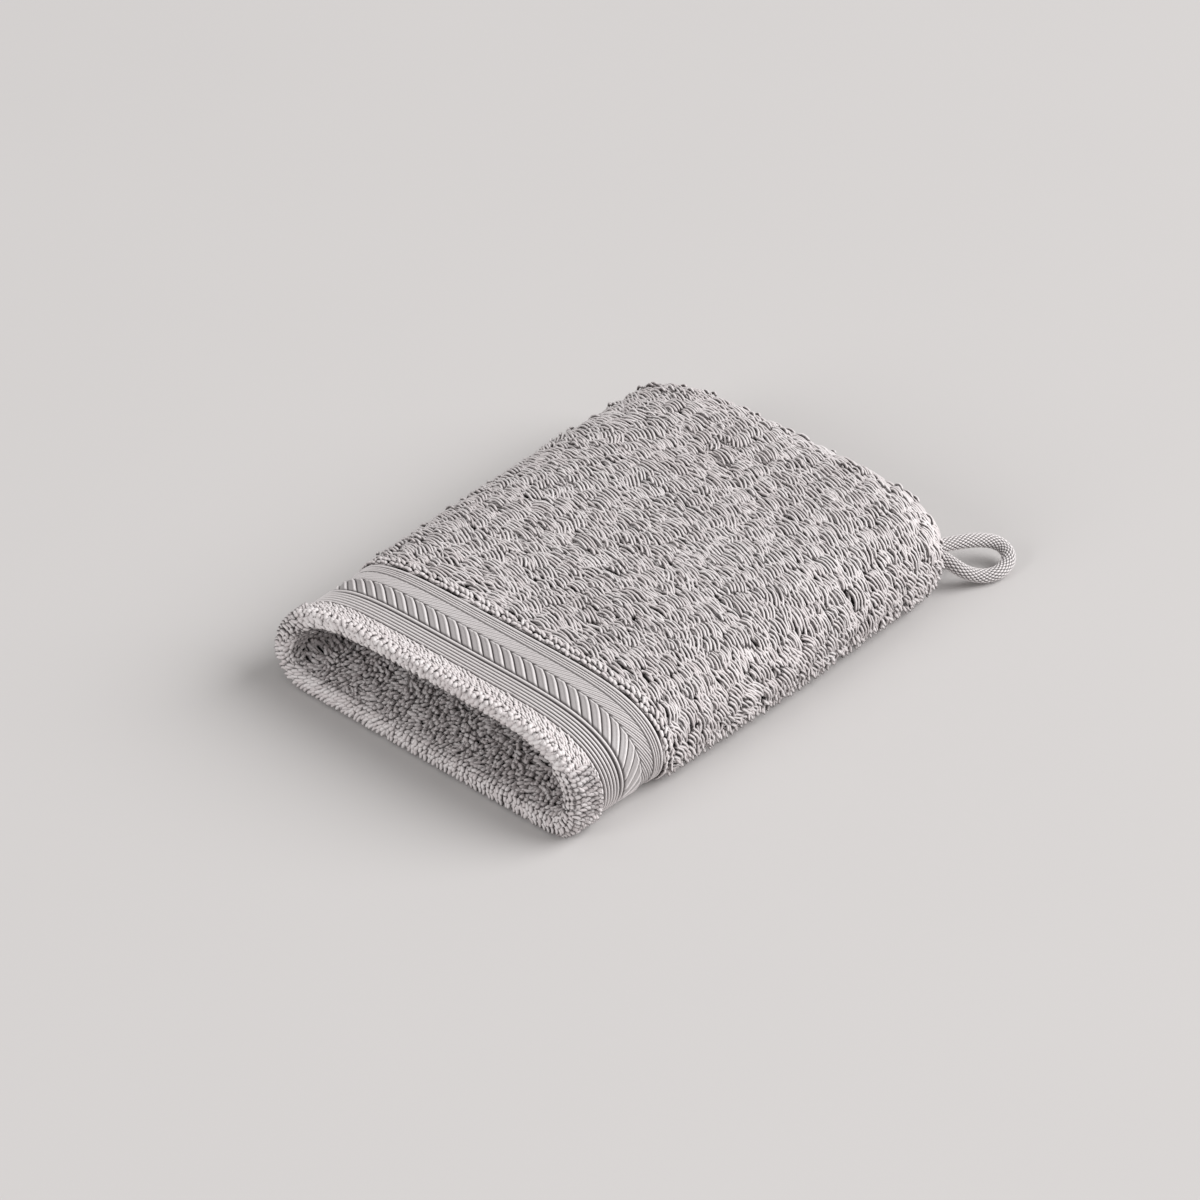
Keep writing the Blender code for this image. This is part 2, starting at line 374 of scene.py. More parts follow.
def yarn_paths(run, turn, heading, length, hook, sinks, form):
    """Paths of strands that lie on the mitt. Heading 0 goes towards the right on the top
    face and a quarter turn goes away from the mouth. Hook is how far a strand turns, most
    of it near its start. Sinks are the depths of its start, its crest and its tip."""
    t = np.array([share for share, _ in form])[None, :]
    heading, length, hook = (
        np.broadcast_to(np.asarray(part, float), run.shape)[:, None]
        for part in (heading, length, hook)
    )
    angle = heading + hook * ((1 - t) ** 2 - 1 / 3)  # a third is the mean of the square
    middle = (angle[:, 1:] + angle[:, :-1]) / 2
    step = length * np.diff(t)
    none = np.zeros((len(run), 1))
    across = np.concatenate([none, np.cumsum(np.cos(middle) * step, 1)], 1)
    along = np.concatenate([none, np.cumsum(np.sin(middle) * step, 1)], 1)
    across -= across.mean(1, keepdims=True)
    along -= along.mean(1, keepdims=True)
    start, crest, tip = (
        np.broadcast_to(np.asarray(part, float), run.shape)[:, None] for part in sinks
    )
    sink = crest + (start - crest) * (1 - np.clip(t / RISE_SHARE, 0, 1)) ** 2
    sink = sink + (tip - crest) * np.clip((t - 1 + FALL_SHARE) / FALL_SHARE, 0, 1) ** 2
    runs = run[:, None] + along
    turns = turn[:, None] - across / envelope.girth(run)[:, None]
    return envelope.place(runs, turns, sink)


def strands(paths, normals, radius, sides, form):
    """Closed tubes along many paths: points, walls, ends, and how near each point is to the
    crest of its strand, which sets its painted light and shade."""
    number, steps = paths.shape[:2]
    ahead = unit(np.gradient(paths, axis=1))
    side = unit(np.cross(ahead, normals))
    up = np.cross(side, ahead)
    widths = np.array([width for _, width in form])
    radii = np.broadcast_to(radius, (number,))[:, None] * widths[None, :]
    angles = 2 * np.pi * np.arange(sides) / sides + np.pi / 2
    ring = (
        side[:, :, None] * np.cos(angles)[None, None, :, None]
        + up[:, :, None] * np.sin(angles)[None, None, :, None]
    )
    points = paths[:, :, None] + ring * radii[:, :, None, None]
    base = np.arange(number)[:, None, None] * steps * sides
    walls = (wrapped_quads(steps, sides)[None] + base).reshape(-1, 4)
    caps = np.arange(sides)
    start = base[:, :, 0] + caps[None, ::-1]
    end = base[:, :, 0] + (steps - 1) * sides + caps[None]
    # Painted shade: the crest value is 1 on top of a strand, 0 underneath and lower at its thin
    # ends, and the material paints the low values dark.
    height = (1 + np.sin(angles)) / 2
    crest = height[None, None, :] * np.minimum(widths / PAINTED_SHADE_WIDTH, 1.0)[None, :, None]
    crest = np.broadcast_to(crest, (number, steps, sides))
    return points.reshape(-1, 3), walls, np.concatenate([start, end]), crest.ravel()


def yarn_piece(name, layers, material, random, painted_light_power=1.0):
    """One piece from several sets of strands, with a tone of its own for each strand. A
    crest power under 1 makes the painted light on each strand wider."""
    points, quads, caps, tones, crests, first = [], [], {}, [], [], 0
    for paths, normals, radius, sides, form in layers:
        made, walls, ends, crest = strands(paths, normals, radius, sides, form)
        made[:, 2] = np.maximum(made[:, 2], FLOOR_CLEARANCE)
        points.append(made)
        quads.append(walls + first)
        caps.setdefault(sides, []).append(ends + first)
        tones.append(np.repeat(random.uniform(0, 1, len(paths)), paths.shape[1] * sides))
        crests.append(crest**painted_light_power)
        first += len(made)
    faces = [np.concatenate(quads), *(np.concatenate(parts) for parts in caps.values())]
    return piece_from(
        name, np.concatenate(points), faces, material,
        tone=np.concatenate(tones), crest=np.concatenate(crests))


# ---------------------------------------------------------------- materials


def linear(colour):
    """An sRGB hex colour as linear red, green and blue."""
    parts = [int(colour[i:i + 2], 16) / 255 for i in (1, 3, 5)]
    return [c / 12.92 if c <= 0.04045 else ((c + 0.055) / 1.055) ** 2.4 for c in parts]


def add_node(material, kind, settings, links=None):
    """A node with its settings and links. A setting is a property of the node, or the name
    or number of one of its inputs. A link gives an input the output that feeds it."""
    node = material.node_tree.nodes.new(kind)
    for name, value in settings.items():
        if isinstance(name, int) or name in node.inputs:
            node.inputs[name].default_value = value
        else:
            setattr(node, name, value)
    for name, source in (links or {}).items():
        material.node_tree.links.new(source, node.inputs[name])
    return node


def new_finish(name):
    material = bpy.data.materials.new(name)
    material.use_nodes = True
    material.node_tree.nodes.clear()
    return material


DYE_CLOUD = 35.714 * MM  # width of the faint clouds that dyeing leaves
FIBRE_RELIEF = 0.1 * MM
WAVE_PERIOD = 2 * math.pi / 20  # distance between two bands of a wave texture of scale 1


def cotton(name, shade, light, gap, streaks, fibre_bump, roughness, sheen, pick=None):
    """Cotton with painted shade where it turns down between its neighbours and painted light
    on its crests, both read from the crest value of each point. Shade and light are the
    painted colours in the gaps and on the crests, and gap is how far up its strands the
    painted shade reaches. Streaks are how many streaks of fibre it has to a millimetre, and
    pick is the width of its weft threads."""
    material = new_finish(name)
    place = add_node(material, "ShaderNodeTexCoord", {}).outputs["Object"]
    crest = add_node(material, "ShaderNodeAttribute", {"attribute_name": "crest"})
    tone = add_node(material, "ShaderNodeAttribute", {"attribute_name": "tone"})
    streak = add_node(
        material, "ShaderNodeTexNoise", {"Scale": streaks / MM, "Detail": 3.0, "Roughness": 0.6},
        {"Vector": place})
    cloud = add_node(
        material, "ShaderNodeTexNoise", {"Scale": 1 / DYE_CLOUD, "Detail": 2.0},
        {"Vector": place})
    # Painted shade and light: the crest value mixes the shade colour into the gaps and the light
    # colour onto the crests.
    painted_light_share = add_node(
        material, "ShaderNodeMapRange",
        {"interpolation_type": "SMOOTHSTEP", "From Min": gap, "From Max": 1.0},
        {"Value": crest.outputs["Fac"]})
    colour = add_node(
        material, "ShaderNodeMix",
        {"data_type": "RGBA", 6: (*linear(shade), 1.0), 7: (*linear(light), 1.0)},
        {0: painted_light_share.outputs["Result"]}).outputs[2]
    for source, darker in ((tone, "#eeebeb"), (streak, "#ebe8e8"), (cloud, "#f4f1f1")):
        colour = add_node(
            material, "ShaderNodeMix",
            {"data_type": "RGBA", "blend_type": "MULTIPLY", 7: (*linear(darker), 1.0)},
            {0: source.outputs["Fac"], 6: colour}).outputs[2]
    bump = add_node(
        material, "ShaderNodeBump", {"Strength": fibre_bump, "Distance": FIBRE_RELIEF},
        {"Height": streak.outputs["Fac"]})
    if pick:
        wave = add_node(
            material, "ShaderNodeTexWave",
            {"Scale": WAVE_PERIOD / pick, "Distortion": 1.5, "Detail": 2.0,
             "bands_direction": "Y"},
            {"Vector": place})
        bump = add_node(
            material, "ShaderNodeBump", {"Strength": 0.15, "Distance": FIBRE_RELIEF},
            {"Height": wave.outputs["Fac"], "Normal": bump.outputs["Normal"]})
    shader = add_node(
        material, "ShaderNodeBsdfPrincipled",
        {"Roughness": roughness, "IOR": 1.5, "Sheen Weight": sheen, "Sheen Roughness": 0.4},
        {"Base Color": colour, "Normal": bump.outputs["Normal"]})
    add_node(material, "ShaderNodeOutputMaterial", {}, {"Surface": shader.outputs[0]})
    return material


def terry_yarn():
    """Combed cotton yarn in loops: soft and matt, each strand a little lighter or darker, with
    painted light along its top and painted shade down its sides and at its thin ends. Its
    fibres make streaks about 0.4 mm wide, which catch light along the crests."""
    return cotton("terry_yarn", "#676262", "#f8f5f5", 0.48, 2.6, 0.25, 0.55, 0.1)


def ground_cotton():
    """Plain-woven cotton that the loops stand in: dull, its colour a painted shade, darker than
    the yarn, as it is seen only between them.
    """
    return cotton("ground_cotton", "#8a8686", "#9b9797", 0.0, 0.9, 0.6, 0.95, 0.0)


def woven_cotton():
    """Mercerised cotton woven dense in ribs, bars and a twill: smoother than the pile, with
    a faint lustre, painted light on its ridges and painted shade in its grooves. Its picks
    lie about 0.3 mm apart, and are drawn 1.6 mm apart to show."""
    return cotton("woven_cotton", "#5c5757", "#f4f1f1", 0.27, 1.5, 0.25, 0.5, 0.1, 1.5708 * MM)


def braided_cotton():
    """Cotton cord, plaited tight from many strands: round crossings with painted light on them
    and painted shade between them.
    """
    return cotton("braided_cotton", "#4a4545", "#f4f1f1", 0.3, 2.2, 0.3, 0.5, 0.1)


PAPER_CLOUD = 166.67 * MM


def floor_paper():
    """Matt studio paper. Clouds about 17 cm wide keep it from being quite even."""
    material = new_finish("floor_paper")
    place = add_node(material, "ShaderNodeTexCoord", {}).outputs["Object"]
    grain = add_node(
        material, "ShaderNodeTexNoise", {"Scale": 1 / PAPER_CLOUD, "Detail": 3.0},
        {"Vector": place})
    colour = add_node(
        material, "ShaderNodeMix",
        {"data_type": "RGBA", 6: (*linear("#c3c0bf"), 1.0), 7: (*linear("#c5c2c1"), 1.0)},
        {0: grain.outputs["Fac"]})
    shader = add_node(
        material, "ShaderNodeBsdfPrincipled", {"Roughness": 0.9, "IOR": 1.45},
        {"Base Color": colour.outputs[2]})
    add_node(material, "ShaderNodeOutputMaterial", {}, {"Surface": shader.outputs[0]})
    return material


# ---------------------------------------------------------------- hanging loop

CORD_SIDES = 84
CORD_STEP = 0.25 * MM
PLAITS_EACH_WAY = 12
PLAIT_STEP = 1.2 * MM  # length of cord to one crossing
PLAIT_RELIEF = 0.7 * MM
BEAD_FALL = 0.55  # how much lower a crossing is at its ends than in its middle


def loop_route():
    """The loop's centreline in fine steps, with its tucked ends."""
    out_x, out_y = math.cos(LOOP_HEADING), math.sin(LOOP_HEADING)
    points = np.array([
        (
            LOOP_CORNER[0] + (out * out_x - across * out_y) * MM,
            LOOP_CORNER[1] + (out * out_y + across * out_x) * MM,
            height * MM,
        )
        for out, across, height in LOOP_ROUTE
    ])
    first = points[0] + unit(points[0] - points[1]) * CORD_TUCK
    last = points[-1] + unit(points[-1] - points[-2]) * CORD_TUCK
    points = np.vstack([first, points, last])
    reach = np.concatenate([[0], np.cumsum(np.linalg.norm(np.diff(points, axis=0), axis=1))])
    even = np.linspace(0, reach[-1], round(reach[-1] / CORD_STEP) + 1)
    return np.stack([smooth_through(reach, points[:, axis], even) for axis in range(3)], -1)


def hanging_loop(material):
    """Round cord in a plain plait: each strand goes over one and under one."""
    route = loop_route()
    ahead = unit(np.gradient(route, axis=0))
    side = np.empty_like(route)
    side[0] = unit(np.cross(ahead[0], (0.0, 0.0, 1.0)))
    for i in range(1, len(route)):
        side[i] = unit(side[i - 1] - ahead[i] * np.dot(side[i - 1], ahead[i]))
    up = np.cross(side, ahead)
    angle = np.linspace(0, 2 * np.pi, CORD_SIDES, endpoint=False)[None, :]
    reach = (np.arange(len(route)) * CORD_STEP)[:, None]
    left = PLAITS_EACH_WAY * angle / (2 * np.pi) + reach / PLAIT_STEP / 2
    right = PLAITS_EACH_WAY * angle / (2 * np.pi) - reach / PLAIT_STEP / 2
    over = (np.floor(left) + np.floor(right)) % 2 < 1
    a, b = 2 * (left % 1) - 1, 2 * (right % 1) - 1
    width, length = np.where(over, a, b), np.where(over, b, a)
    bead = np.sqrt(np.maximum(1 - width**2, 0)) * (1 - BEAD_FALL * length**2)
    radius = CORD_DIAMETER / 2 - PLAIT_RELIEF * (1 - bead)
    circle = (
        side[:, None] * np.cos(angle)[..., None] + up[:, None] * np.sin(angle)[..., None]
    )
    points = route[:, None] + circle * radius[..., None]
    points[..., 2] = np.maximum(points[..., 2], FLOOR_CLEARANCE)
    rows = len(route)
    centres = np.stack([route[0], route[-1]])
    points = np.concatenate([points.reshape(-1, 3), centres])
    j = np.arange(CORD_SIDES)
    k = (j + 1) % CORD_SIDES
    last = (rows - 1) * CORD_SIDES
    hub = rows * CORD_SIDES
    caps = np.concatenate([
        np.stack([k, j, np.full_like(j, hub)], -1),
        np.stack([last + j, last + k, np.full_like(j, hub + 1)], -1),
    ])
    # The crest value is the bead: painted light on each crossing and painted shade between them.
    piece = piece_from(
        "cord_loop", points, [wrapped_quads(rows, CORD_SIDES), caps], material,
        crest=np.concatenate([bead.ravel(), [0.0, 0.0]]))
    length = np.linalg.norm(np.diff(route, axis=0), axis=1).sum()
    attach(piece, "root")
    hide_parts("hanging_loop")


# ---------------------------------------------------------------- ground cloth

GROUND_COLUMNS = 128
GROUND_BODY_ROWS = 34
GROUND_END_ROWS = 14
GROUND_HEM_TURN = math.pi / 16


def ground_face(depth, mouth_end):
    """Distance from the mouth, depth and share of the end's turn of one face's rings."""
    for from_mouth in np.linspace(mouth_end, BODY_END, GROUND_BODY_ROWS)[1:]:
        yield from_mouth, depth, 0.0
    for turn in np.linspace(0, math.pi / 2, GROUND_END_ROWS)[1:]:
        yield BODY_END + (END_ROUNDING - depth) * math.sin(turn), depth, math.sin(turn)


def ground_cloth(material):
    """The cloth that the loops stand in: one closed sheet, outer face then inner."""
    middle = (GROUND_OUTER + GROUND_INNER) / 2
    half = (GROUND_INNER - GROUND_OUTER) / 2
    outer = list(ground_face(GROUND_OUTER, middle + half))[::-1]
    turns = np.arange(0.0, math.pi / 2, GROUND_HEM_TURN)
    hem = [(middle - half * math.sin(t), middle - half * math.cos(t), 0.0) for t in turns[1:]]
    hem += [(middle - half * math.sin(t), middle + half * math.cos(t), 0.0) for t in turns[::-1]]
    inner = list(ground_face(GROUND_INNER, middle + half))
    rings = [*outer, (middle + half, GROUND_OUTER, 0.0), *hem, *inner]
    points = [
        section_ring(from_mouth, depth, into_end, 0.0, GROUND_COLUMNS)[0]
        for from_mouth, depth, into_end in rings
    ]
    rows = len(points)
    columns = np.arange(GROUND_COLUMNS)
    caps = np.stack([columns, (rows - 1) * GROUND_COLUMNS + columns[::-1]])
    quads = wrapped_quads(rows, GROUND_COLUMNS)
    return piece_from("ground_cloth", np.concatenate(points), [quads, caps], material)


# ---------------------------------------------------------------- woven border

BAR_PITCH = 5.15 * MM
BAR_COLUMNS = (0.00, 0.07, 0.16, 0.30, 0.44, 0.58, 0.68, 0.77, 0.86, 0.94)
BAR_LEAN = 10.2 * MM
BAR_HOOK = 1.6 * MM
TWILL_LEAN = 16.0 * MM

# Zones of the band by distance from the mouth: what it is, how many ribs it has, how
# high they stand and how many rows of mesh each one takes.
BAND_ZONES = (
    {"kind": "ribs", "start": 13.7, "end": 15.1, "ribs": 1, "relief": 1.1, "rows": 6},
    {"kind": "ribs", "start": 15.1, "end": 22.3, "ribs": 5, "relief": 1.35, "rows": 7},
    {"kind": "groove", "start": 22.3, "end": 22.9, "ribs": 1, "relief": 0.0, "rows": 3},
    {"kind": "ribs", "start": 22.9, "end": 24.5, "ribs": 1, "relief": 1.25, "rows": 6},
    {"kind": "bars", "start": 24.5, "end": 33.2, "ribs": 1, "relief": 1.3, "rows": 17},
    {"kind": "twill", "start": 33.2, "end": 39.2, "ribs": 1, "relief": 0.9, "rows": 9},
    {"kind": "ribs", "start": 39.2, "end": 42.2, "ribs": 3, "relief": 0.95, "rows": 6},
    {"kind": "ribs", "start": 42.2, "end": 43.9, "ribs": 1, "relief": 1.1, "rows": 7},
)
BAND_BASE = 2.1 * MM  # depth of the band's gaps below the tips of the pile
BAND_FOOT = 2.9 * MM  # and of its back

# A bar, by share of its pitch: a flat panel with a rounded ridge on its right
PANEL_HEIGHT = 0.58
RIDGE_AT = 0.76
RIDGE_WIDTH = 0.20
# The bar's far end closes in a cap, by share of the zone's width
CAP_AT = 0.92
CAP_WIDTH = 0.05
TWILL_PAINTED_LIGHT = 0.35  # the fine twill's gaps get less painted shade than the bars' gaps


def woven_band(material):
    """Border woven in ribs, leaning bars and a fine twill, as a closed relief."""
    girth = envelope.girth(outside((BAND_START + BAND_END) / 2))
    bars = round(girth / BAR_PITCH)
    columns = (np.arange(bars)[:, None] + np.array(BAR_COLUMNS)[None, :]).ravel() / bars
    share = np.tile(BAR_COLUMNS, bars)
    rows, heights, leans = [BAND_START], [np.zeros(len(share))], [0.0]
    crests = [np.zeros(len(share))]
    panel = PANEL_HEIGHT * ease(0.0, 0.10, share) * (1 - ease(0.96, 1.0, share))
    bar = np.maximum(panel, np.exp(-(((share - RIDGE_AT) / RIDGE_WIDTH) ** 2)))
    twill = np.sin(2 * np.pi * share) ** 2
    lean = 0.0
    for zone in BAND_ZONES:
        count = zone["ribs"] * zone["rows"]
        for step in range(1, count + 1):
            t = step / count
            rows.append((zone["start"] + t * (zone["end"] - zone["start"])) * MM)
            relief = zone["relief"] * MM
            within = (step % zone["rows"]) / zone["rows"]
            if zone["kind"] == "ribs":
                raised = np.full(len(share), math.sin(math.pi * within))
            elif zone["kind"] == "groove":
                raised = np.zeros(len(share))
            elif zone["kind"] == "bars":
                cap = math.exp(-(((t - CAP_AT) / CAP_WIDTH) ** 2)) * ease(0.0, 0.25, share)
                raised = np.maximum(bar * ease(0.0, 0.10, t) * (1 - ease(0.93, 1.0, t)), cap)
                lean = BAR_LEAN * t + BAR_HOOK * t**9
            else:
                raised = (0.15 + 0.7 * twill) * ease(0.0, 0.1, t) * (1 - 0.7 * ease(0.9, 1.0, t))
                lean = BAR_LEAN + BAR_HOOK - TWILL_LEAN * t
            heights.append(relief * raised)
            # Painted light and shade: the crest value follows the relief, light on the ridges and
            # dark in the gaps.
            painted_light_least = TWILL_PAINTED_LIGHT if zone["kind"] == "twill" else 0.0
            crests.append(painted_light_least + (1 - painted_light_least) * raised)
            leans.append(lean)
    runs = outside(np.array(rows))[:, None] + np.zeros(len(share))[None, :]
    turns = 1.0 - columns[None, :] + np.array(leans)[:, None] / girth
    outer, _ = envelope.place(runs, turns, BAND_BASE - np.array(heights))
    inner_rows = np.array([BAND_END, (BAND_START + BAND_END) / 2, BAND_START])
    inner_leans = np.interp(inner_rows, rows, leans)
    inner, _ = envelope.place(
        outside(inner_rows)[:, None] + np.zeros(len(share))[None, :],
        1.0 - columns[None, :] + inner_leans[:, None] / girth,
        np.full((3, len(share)), BAND_FOOT),
    )
    points = np.concatenate([outer, inner])
    points[..., 2] = np.maximum(points[..., 2], FLOOR_CLEARANCE)
    count = len(share)
    quads = wrapped_quads(len(points), count)
    j = np.arange(count)
    k = (j + 1) % count
    last = (len(points) - 1) * count
    closing = np.stack([last + j, last + k, k, j], -1)
    quads = np.concatenate([quads, closing])[:, ::-1]
    crests = np.concatenate([*crests, np.zeros(3 * count)])
    return piece_from("woven_band", points.reshape(-1, 3), [quads], material, crest=crests)


# ---------------------------------------------------------------- pile

# Parts of the way round, in turns
ALL_ROUND = (0, 1)
UPPER_SIDE = (0.17, 0.83)
UNDERSIDE = (-0.17, 0.17)
UPPER_LIP = (0.295, 0.705)
LOWER_LIP = (-0.295, 0.295)
EDGE_TURNS = (0.232, 0.224, 0.214)  # lines of loops along each edge of the underside

# Kinds of short loop, in millimetres and radians. Heading is the way they lie, spread is
# how much it varies from loop to loop, and swirl how much it varies by patches. Kinds with
# no sinks get them row by row.
BORDER_BEAD = {
    "gap": 2.5, "heading": -0.25, "length": 2.6, "radius": 0.76, "sinks": (1.2, 0.7, 1.2),
    "hook": 0.5, "spread": 0.2, "swirl": 0.0, "form": BEAD,
}
BORDER_LOOP = {
    "gap": 2.6, "heading": -0.4, "length": 3.8, "radius": 0.66, "sinks": (1.2, 0.6, 1.2),
    "hook": 0.9, "spread": 0.2, "swirl": 0.0, "form": BEAD,
}
HEM_STITCH = {
    "gap": 2.2, "heading": -0.42, "length": 4.0, "radius": 0.42, "sinks": (1.5, 0.7, 1.5),
    "hook": 0.0, "spread": 0.06, "swirl": 0.0, "form": FLAT_STRAND,
}
SLANTED_STITCH = {
    "gap": 1.75, "heading": -0.45, "length": 2.6, "radius": 0.45, "sinks": (1.3, 0.65, 1.1),
    "hook": 0.3, "spread": 0.08, "swirl": 0.0, "form": FLAT_STRAND,
}
RIM_BEAD = {
    "gap": 3.0, "heading": -0.8, "length": 2.1, "radius": 0.86, "sinks": (0.7, 0.25, 0.6),
    "hook": 0.1, "spread": 0.2, "swirl": 0.0, "form": BEAD,
}
HANGING_LOOP = {
    "gap": 2.6, "heading": -1.45, "length": 4.0, "radius": 1.05,
    "hook": 0.0, "spread": 0.10, "swirl": 0.0, "form": ROUND_LOOP,
}
FANNED_LOOP = {
    "gap": 2.0, "heading": 1.5, "length": 2.9, "radius": 0.78,
    "hook": 0.0, "spread": 0.25, "swirl": 0.5, "form": ROUND_LOOP,
}
SWIRL_PATCH = 16 * MM  # width of the patches that swirl alike
SHORT_LOOP_PAINTED_LIGHT = 0.55  # short loops stand up, so more of each one gets painted light
EDGE_HEADING = 0.35

FLOW = math.radians(-14.0)  # the pile leans to the right and a little towards the mouth
SIDE_FLOW = math.radians(30.0)  # and down the right side, away from the mouth
FLOW_DRIFT = 0.14
FLOW_PATCH = 28 * MM  # width of the patches that lean alike
HOOK = 34.0  # degrees that a tuft turns
HOOK_SPREAD = 17.0  # and how much this varies from tuft to tuft
PROUD_SHARE = 0.05  # of the strands, which stand up out of the pile as short loops
PROUD_BY = 1.1 * MM
EDGE_LOOP_GAP = 2.6 * MM


def flow(run, turn):
    """Which way the pile lies at places on the mitt."""
    down_side = ease(0.31, 0.25, turn)
    return FLOW + (SIDE_FLOW - FLOW) * down_side + FLOW_DRIFT * drift(run, turn, FLOW_PATCH, 3)


def tufts(run, turn, random, length, crest, form, members, spread):
    """Groups of strands side by side, all hooked the same way. Members are the fewest and
    the most strands in a group, and spread is how far apart they lie in millimetres."""
    number = len(run)
    heading = flow(run, turn) + random.normal(0, 0.12, number)
    hook = np.radians(random.normal(HOOK, HOOK_SPREAD, number))
    lengths = length * random.uniform(0.7, 1.25, number)
    crests = crest * MM + 0.28 * MM * drift(run, turn, 12 * MM, 5)
    crests = crests + random.normal(0, 0.22 * MM, number)
    members = random.integers(members[0], members[1] + 1, number)
    index = np.repeat(np.arange(number), members)
    order = np.concatenate([np.arange(m) - (m - 1) / 2 for m in members])
    total = len(order)
    aside = order * spread * MM * random.uniform(0.92, 1.08, total)
    slide = random.normal(0, 0.5 * MM, total)
    h = heading[index]
    across = -np.sin(h) * aside + np.cos(h) * slide
    along = np.cos(h) * aside + np.sin(h) * slide
    runs = run[index] + along
    turns = turn[index] - across / envelope.girth(run[index])
    sizes = lengths[index] * (1 + 0.06 * order) * random.uniform(0.9, 1.1, total)
    tops = crests[index] + 0.07 * MM * order**2 + random.normal(0, 0.14 * MM, total)
    proud = random.uniform(0, 1, total) < PROUD_SHARE
    tops = np.where(proud, tops - PROUD_BY, tops)
    sizes = np.where(proud, 0.55 * sizes, sizes)
    radii = YARN / 2 * random.uniform(0.88, 1.12, total)
    paths = yarn_paths(
        runs, turns, h + random.normal(0, 0.06, total), sizes,
        hook[index] + random.normal(0, 0.15, total),
        (tops + 1.3 * MM, tops, tops + 1.0 * MM), form,
    )
    return (*paths, radii, 4, form)


def filling(low, high, turn_from, turn_to, random):
    """Lines of wide strands that lie deep among the loops, so that no bare ground shows."""
    run, turn = rows_of_places(
        low, high, 1.7 * MM, 8.0 * MM, random, turn_from, turn_to, stray=0.12)
    number = len(run)
    radii = YARN / 2 * random.uniform(1.15, 1.4, number)
    paths = yarn_paths(
        run, turn, random.normal(0, 0.15, number), 10.5 * MM, random.normal(0.0, 0.3, number),
        (2.0 * MM, 1.4 * MM + random.normal(0, 0.15 * MM, number), 2.0 * MM), DEEP_STRAND,
    )
    return (*paths, radii, 4, DEEP_STRAND)


def short_loops(kind, run_at, turns, random, sinks=None):
    """A row of short loops of one kind, round the mitt or part of it."""
    run, turn = rows_of_places(
        (run_at - 0.4) * MM, (run_at + 0.4) * MM, 0.8 * MM, kind["gap"] * MM, random,
        *turns, stray=0.25)
    number = len(run)
    radii = kind["radius"] * MM * random.uniform(0.86, 1.14, number)
    start, crest, tip = (np.full(number, sink * MM) for sink in sinks or kind["sinks"])
    crest = crest + random.normal(0, 0.14 * MM, number)
    swirl = kind["swirl"] * drift(run, turn, SWIRL_PATCH, 9)
    paths = yarn_paths(
        run, turn, kind["heading"] + swirl + random.normal(0, kind["spread"], number),
        kind["length"] * MM * random.uniform(0.82, 1.2, number),
        kind["hook"] + random.normal(0, 0.3, number), (start, crest, tip), kind["form"],
    )
    return (*paths, radii, 6, kind["form"])


def outer_pile(material):
    """The long loops of the outside, in pieces from the border to the closed end."""
    random = np.random.default_rng(11)
    edge = outside(PILE_START) / MM
    first, last = outside(PILE_START) + 4.6 * MM, farthest_run(0.0) - 1 * MM
    cuts = np.linspace(first, last, 5)
    made = []
    for number, (low, high) in enumerate(zip(cuts, cuts[1:]), 1):
        run, turn = rows_of_places(low, high, 5.2 * MM, 5.9 * MM, random, *UPPER_SIDE)
        layers = [
            tufts(run, turn, random, 9.6 * MM, 0.50, LONG_STRAND, (4, 6), 1.36),
            filling(low, high, *UPPER_SIDE, random),
        ]
        if number == 1:
            layers.append(filling(edge * MM - 1.2 * MM, first, *ALL_ROUND, random))
            layers.append(short_loops(BORDER_BEAD, edge - 0.3, ALL_ROUND, random))
            layers.append(short_loops(BORDER_LOOP, edge + 2.0, ALL_ROUND, random))
        made.append(yarn_piece(f"outer_pile_{number}", layers, material, random))
    return made


def edge_loops(low, high, turn_at, heading, random):
    """A line of loops that stand out along an edge of the underside."""
    number = round((high - low) / EDGE_LOOP_GAP)
    run = low + (np.arange(number) + random.uniform(0, 1, number)) * EDGE_LOOP_GAP
    turn = turn_at + random.normal(0, 0.003, number)
    radii = YARN / 2 * random.uniform(0.9, 1.2, number)
    length = random.uniform(2.6, 4.2, number) * MM
    tip = random.uniform(-1.6, -0.5, number) * MM
    paths = yarn_paths(
        run, turn, heading + random.normal(0, 0.3, number), length,
        random.normal(0, 0.4, number), (1.2 * MM, 0.2 * MM, tip), ROUND_LOOP)
    return (*paths, radii, 5, ROUND_LOOP)


def underside_pile(material):
    """Loops pressed flat where the mitt lies on them, and those along its two edges."""
    random = np.random.default_rng(12)
    first, last = outside(PILE_START) + 2 * MM, farthest_run(0.0) - 1 * MM
    run, turn = rows_of_places(first, last, 6.0 * MM, 6.4 * MM, random, *UNDERSIDE)
    layers = [tufts(run, turn, random, 9.6 * MM, 0.8, FLAT_STRAND, (3, 5), 1.75)]
    for side, down in ((1, EDGE_HEADING), (-1, math.pi - EDGE_HEADING)):
        for turn_at in EDGE_TURNS:
            layers.append(edge_loops(first, last, side * turn_at, down, random))
    return yarn_piece("underside_pile", layers, material, random)


